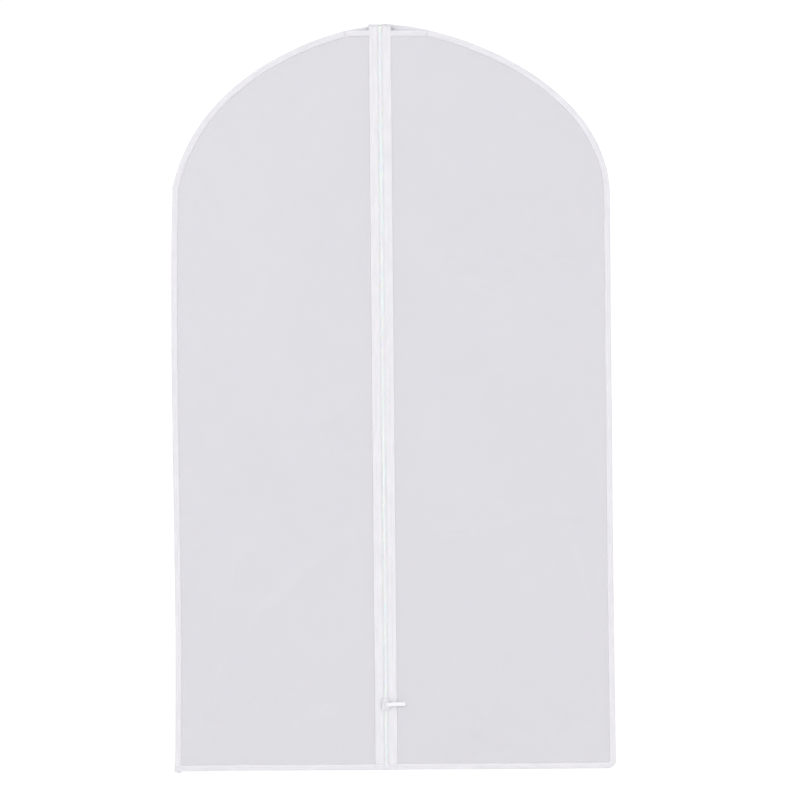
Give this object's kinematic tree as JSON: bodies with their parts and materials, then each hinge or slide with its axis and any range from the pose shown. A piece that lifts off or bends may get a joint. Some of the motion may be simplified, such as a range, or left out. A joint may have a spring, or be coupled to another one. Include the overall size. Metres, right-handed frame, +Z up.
{
  "type": "garment bag",
  "caption": "Arched hanging garment bag of frosted white film with bound edges, a full-length front zip and an open neck for a hanger.",
  "frame": {"origin": "middle of the hanger opening, at the top edge of the bag", "axes": "+Z up along the hanging bag, -Y out of the zipped front, +Y out of the back, +X to the right seen from the front"},
  "size_m": [0.5946, 0.0292, 1.001],
  "materials": {
    "frosted_film": "satin",
    "binding_tape": "matte",
    "sewing_thread": "satin",
    "zip_tape": "matte",
    "zip_coil": "satin",
    "slider_enamel": "gloss"
  },
  "bodies": {
    "bag": {"back_panel": "frosted_film", "front_panel_left": "frosted_film", "front_panel_right": "frosted_film", "edge_binding": "binding_tape", "neck_binding_front": "binding_tape", "neck_binding_back": "binding_tape", "edge_stitching": "sewing_thread", "neck_stitching": "sewing_thread", "zip_stitching_ends": "sewing_thread", "zip_tape_left_ends": "zip_tape", "zip_tape_right_ends": "zip_tape", "zip_coil_left_ends": "zip_coil", "zip_coil_right_ends": "zip_coil"},
    "flap_left": {"front_flap_left": "frosted_film", "zip_tape_left": "zip_tape", "zip_coil_left": "zip_coil", "zip_stitching_left": "sewing_thread"},
    "flap_right": {"front_flap_right": "frosted_film", "zip_tape_right": "zip_tape", "zip_coil_right": "zip_coil", "zip_stitching_right": "sewing_thread"},
    "slider": {"zip_slider": "slider_enamel"},
    "tab": {"pull_tab": "slider_enamel"}
  },
  "joints": [
    {"name": "flap_left_fold", "type": "hinge", "parent": "bag", "child": "flap_left", "pos_m": [-0.1863, -0.0048, -0.4875], "axis": [0, 0, -1], "range_deg": [0, 50]},
    {"name": "flap_right_fold", "type": "hinge", "parent": "bag", "child": "flap_right", "pos_m": [0.1863, -0.0048, -0.4875], "axis": [0, 0, 1], "range_deg": [0, 50]},
    {"name": "slider_travel", "type": "slide", "parent": "bag", "child": "slider", "axis": [-0.0092, 0, 1], "range_m": [-0.062, 0.88]},
    {"name": "tab_swing", "type": "hinge", "parent": "slider", "child": "tab", "pos_m": [0.00118, -0.011, -0.911], "axis": [0.0092, 0, -1], "range_deg": [0, 202]}
  ]
}
